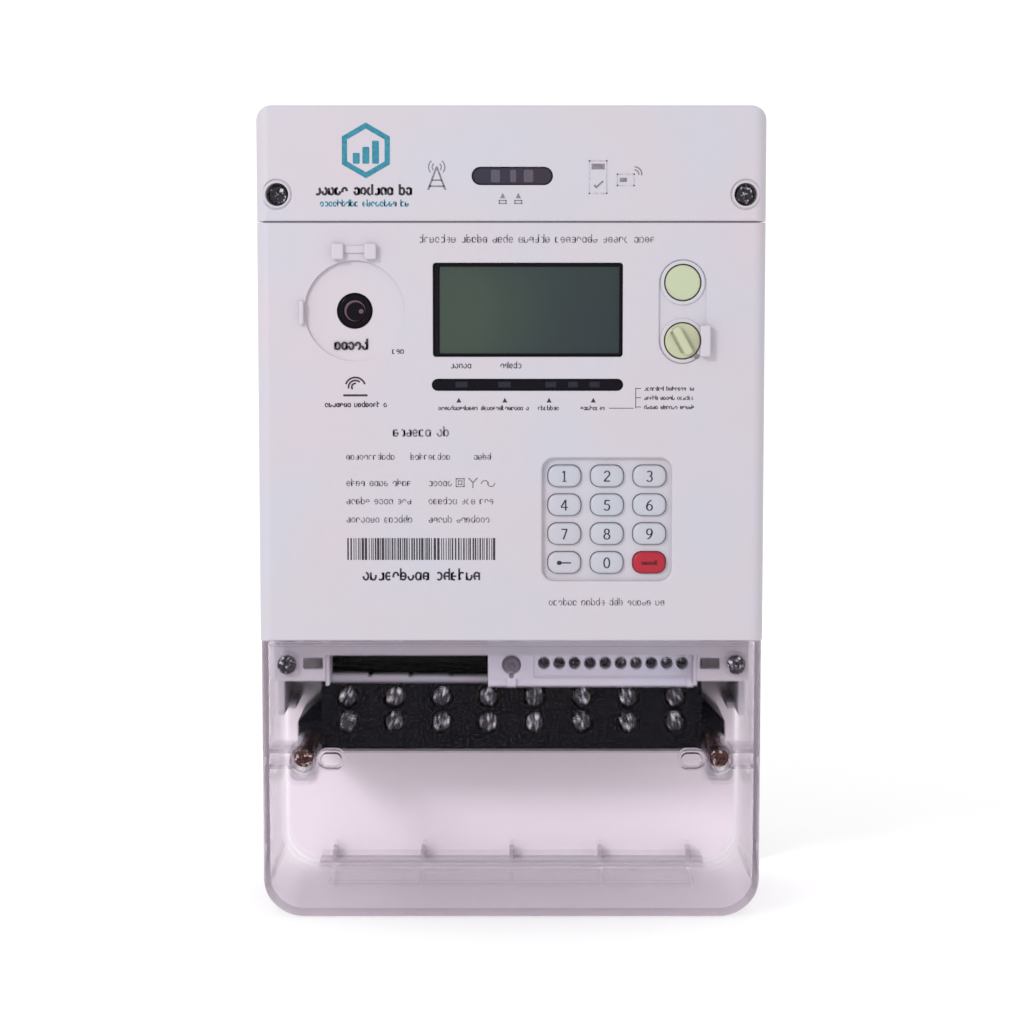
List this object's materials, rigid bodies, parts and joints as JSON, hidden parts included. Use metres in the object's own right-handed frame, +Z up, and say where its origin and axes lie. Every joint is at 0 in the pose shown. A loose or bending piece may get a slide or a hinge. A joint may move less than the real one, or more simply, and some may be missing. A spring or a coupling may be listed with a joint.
{
  "type": "prepaid electricity meter",
  "caption": "Wall-mounted keypad electricity meter: off-white case with display, lamp bar and push buttons over a clear screwed terminal cover and black terminal block.",
  "frame": {"origin": "centre of the flat back face that lies against the wall", "axes": "+Z up, +Y into the wall, so the front of the meter faces -Y; +X to the right as seen from the front"},
  "size_m": [0.17, 0.0814, 0.274],
  "materials": {
    "housing": "fine satin texture, off-white with a faint lilac cast",
    "clear_cover": "clear polycarbonate, slightly smoky",
    "display_glass": "clear window",
    "display_glass_grey": "grey-green liquid crystal glass",
    "smoked_lens": "dark smoked lens",
    "circuit_board": "green solder mask",
    "seal_rubber": "silicone rubber",
    "module_case": "grey moulded case",
    "grey_key": "satin grey key cap",
    "red_key": "satin red key cap",
    "green_button": "satin pale green",
    "black_moulding": "black thermoset moulding",
    "strip_moulding": "pale grey moulding",
    "grey_plunger": "grey plunger",
    "terminal_brass": "plated terminal metal",
    "plated_steel": "zinc-plated steel"
  },
  "bodies": {
    "meter": {"base_housing": "housing", "body_gasket": "seal_rubber", "front_cover": "housing", "lcd_window": "display_glass", "led_light_bar": "smoked_lens", "optical_window": "smoked_lens", "lcd_module": "display_glass_grey", "display_board": "circuit_board", "main_board": "circuit_board", "keypad_mat": "seal_rubber", "relay_module": "module_case", "comm_module": "module_case", "terminal_block": "black_moulding", "terminal_strip": "strip_moulding", "conductor_phase_1": "terminal_brass", "conductor_phase_2": "terminal_brass", "conductor_phase_3": "terminal_brass", "conductor_neutral": "terminal_brass", "terminal_screw_1a": "plated_steel", "terminal_screw_1b": "plated_steel", "terminal_screw_2a": "plated_steel", "terminal_screw_2b": "plated_steel", "terminal_screw_3a": "plated_steel", "terminal_screw_3b": "plated_steel", "terminal_screw_4a": "plated_steel", "terminal_screw_4b": "plated_steel", "terminal_screw_5a": "plated_steel", "terminal_screw_5b": "plated_steel", "terminal_screw_6a": "plated_steel", "terminal_screw_6b": "plated_steel", "terminal_screw_7a": "plated_steel", "terminal_screw_7b": "plated_steel", "terminal_screw_8a": "plated_steel", "terminal_screw_8b": "plated_steel", "cover_screw_left": "plated_steel", "cover_screw_right": "plated_steel"},
    "hanger": {"hanger_bracket": "plated_steel"},
    "header": {"header_cover": "housing", "header_window": "smoked_lens", "header_screw_left": "plated_steel", "header_screw_right": "plated_steel"},
    "clear_cover": {"terminal_cover": "clear_cover", "terminal_cover_screw_left": "plated_steel", "terminal_cover_screw_right": "plated_steel"},
    "scroll_button": {"scroll_button": "green_button"},
    "reset_button": {"reset_plunger": "green_button"},
    "reset_knob": {"reset_knob": "green_button"},
    "cover_switch": {"cover_switch_plunger": "grey_plunger"},
    "key_1": {"key_1": "grey_key"},
    "key_2": {"key_2": "grey_key"},
    "key_3": {"key_3": "grey_key"},
    "key_4": {"key_4": "grey_key"},
    "key_5": {"key_5": "grey_key"},
    "key_6": {"key_6": "grey_key"},
    "key_7": {"key_7": "grey_key"},
    "key_8": {"key_8": "grey_key"},
    "key_9": {"key_9": "grey_key"},
    "key_back": {"key_back": "grey_key"},
    "key_0": {"key_0": "grey_key"},
    "key_enter": {"key_enter": "red_key"}
  },
  "joints": [
    {"name": "hanger_slide", "type": "slide", "parent": "meter", "child": "hanger", "axis": [0, 0, 1], "range_m": [0, 0.012]},
    {"name": "header_lift", "type": "slide", "parent": "meter", "child": "header", "axis": [0, -1, 0], "range_m": [0, 0.06]},
    {"name": "terminal_cover_lift", "type": "slide", "parent": "meter", "child": "clear_cover", "axis": [0, -1, 0], "range_m": [0, 0.1]},
    {"name": "scroll_press", "type": "slide", "parent": "meter", "child": "scroll_button", "axis": [0, 1, 0], "range_m": [0, 0.0012], "stiffness_N_per_m": 400},
    {"name": "reset_press", "type": "slide", "parent": "meter", "child": "reset_button", "axis": [0, 1, 0], "range_m": [0, 0.0012], "stiffness_N_per_m": 400},
    {"name": "reset_turn", "type": "hinge", "parent": "reset_button", "child": "reset_knob", "pos_m": [0.0572, -0.078, 0.059], "axis": [0, -1, 0], "range_deg": [-29, 61]},
    {"name": "cover_switch_press", "type": "slide", "parent": "meter", "child": "cover_switch", "axis": [0, 1, 0], "range_m": [0, 0.0015], "stiffness_N_per_m": 300},
    {"name": "key_1_press", "type": "slide", "parent": "meter", "child": "key_1", "axis": [0, 1, 0], "range_m": [0, 0.0012], "stiffness_N_per_m": 400},
    {"name": "key_2_press", "type": "slide", "parent": "meter", "child": "key_2", "axis": [0, 1, 0], "range_m": [0, 0.0012], "stiffness_N_per_m": 400},
    {"name": "key_3_press", "type": "slide", "parent": "meter", "child": "key_3", "axis": [0, 1, 0], "range_m": [0, 0.0012], "stiffness_N_per_m": 400},
    {"name": "key_4_press", "type": "slide", "parent": "meter", "child": "key_4", "axis": [0, 1, 0], "range_m": [0, 0.0012], "stiffness_N_per_m": 400},
    {"name": "key_5_press", "type": "slide", "parent": "meter", "child": "key_5", "axis": [0, 1, 0], "range_m": [0, 0.0012], "stiffness_N_per_m": 400},
    {"name": "key_6_press", "type": "slide", "parent": "meter", "child": "key_6", "axis": [0, 1, 0], "range_m": [0, 0.0012], "stiffness_N_per_m": 400},
    {"name": "key_7_press", "type": "slide", "parent": "meter", "child": "key_7", "axis": [0, 1, 0], "range_m": [0, 0.0012], "stiffness_N_per_m": 400},
    {"name": "key_8_press", "type": "slide", "parent": "meter", "child": "key_8", "axis": [0, 1, 0], "range_m": [0, 0.0012], "stiffness_N_per_m": 400},
    {"name": "key_9_press", "type": "slide", "parent": "meter", "child": "key_9", "axis": [0, 1, 0], "range_m": [0, 0.0012], "stiffness_N_per_m": 400},
    {"name": "key_back_press", "type": "slide", "parent": "meter", "child": "key_back", "axis": [0, 1, 0], "range_m": [0, 0.0012], "stiffness_N_per_m": 400},
    {"name": "key_0_press", "type": "slide", "parent": "meter", "child": "key_0", "axis": [0, 1, 0], "range_m": [0, 0.0012], "stiffness_N_per_m": 400},
    {"name": "key_enter_press", "type": "slide", "parent": "meter", "child": "key_enter", "axis": [0, 1, 0], "range_m": [0, 0.0012], "stiffness_N_per_m": 400}
  ]
}
